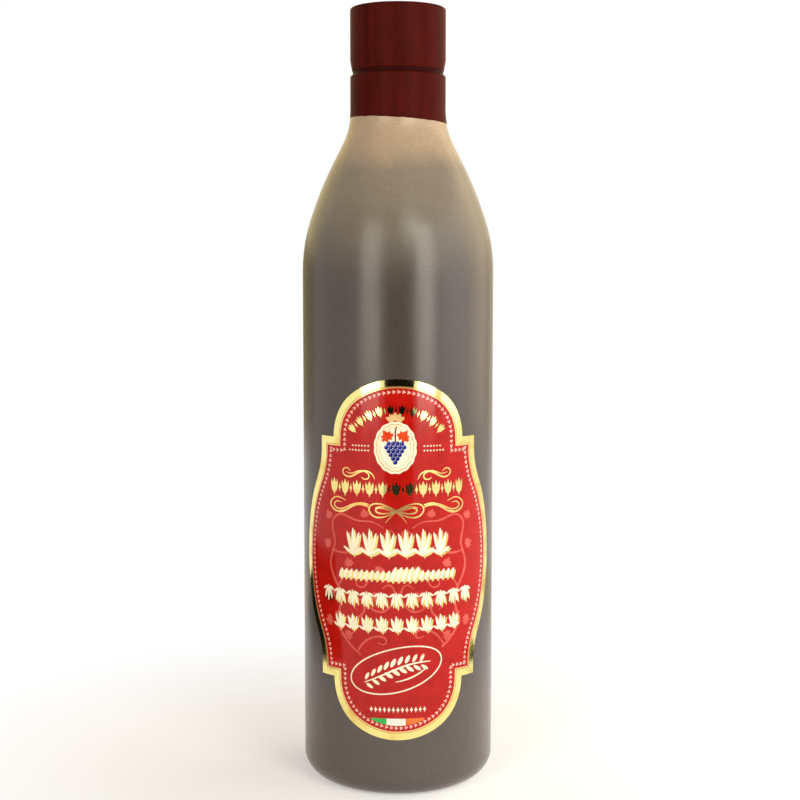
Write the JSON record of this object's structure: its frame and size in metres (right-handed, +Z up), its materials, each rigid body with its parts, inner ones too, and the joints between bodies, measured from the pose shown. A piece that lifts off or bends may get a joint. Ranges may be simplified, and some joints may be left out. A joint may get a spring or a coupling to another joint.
{
  "type": "balsamic glaze bottle",
  "caption": "Tall round squeeze bottle of dark balsamic glaze with a long curved shoulder, shut flip-top closure under a shrink capsule and a wrapped cartouche label.",
  "frame": {"origin": "centre of the stand ring, in the plane that the bottle stands on", "axes": "+Z up the bottle's axis to the lid, -Y out of the middle of the label, +X to the right of someone reading the label"},
  "size_m": [0.061, 0.0612, 0.246],
  "materials": {
    "bottle": "frosted natural polyethylene, dark with the glaze behind it, tan above the glaze",
    "glaze": "thick dark brown glaze seen through the frosted wall",
    "closure": "moulded plastic, covered by the capsule",
    "capsule": "satin dark maroon shrink film",
    "label": "red varnished label with a gold foil border"
  },
  "bodies": {
    "root": {"bottle": "bottle", "glaze": "glaze", "closure": "closure", "capsule": "capsule", "label": "label"}
  },
  "joints": []
}
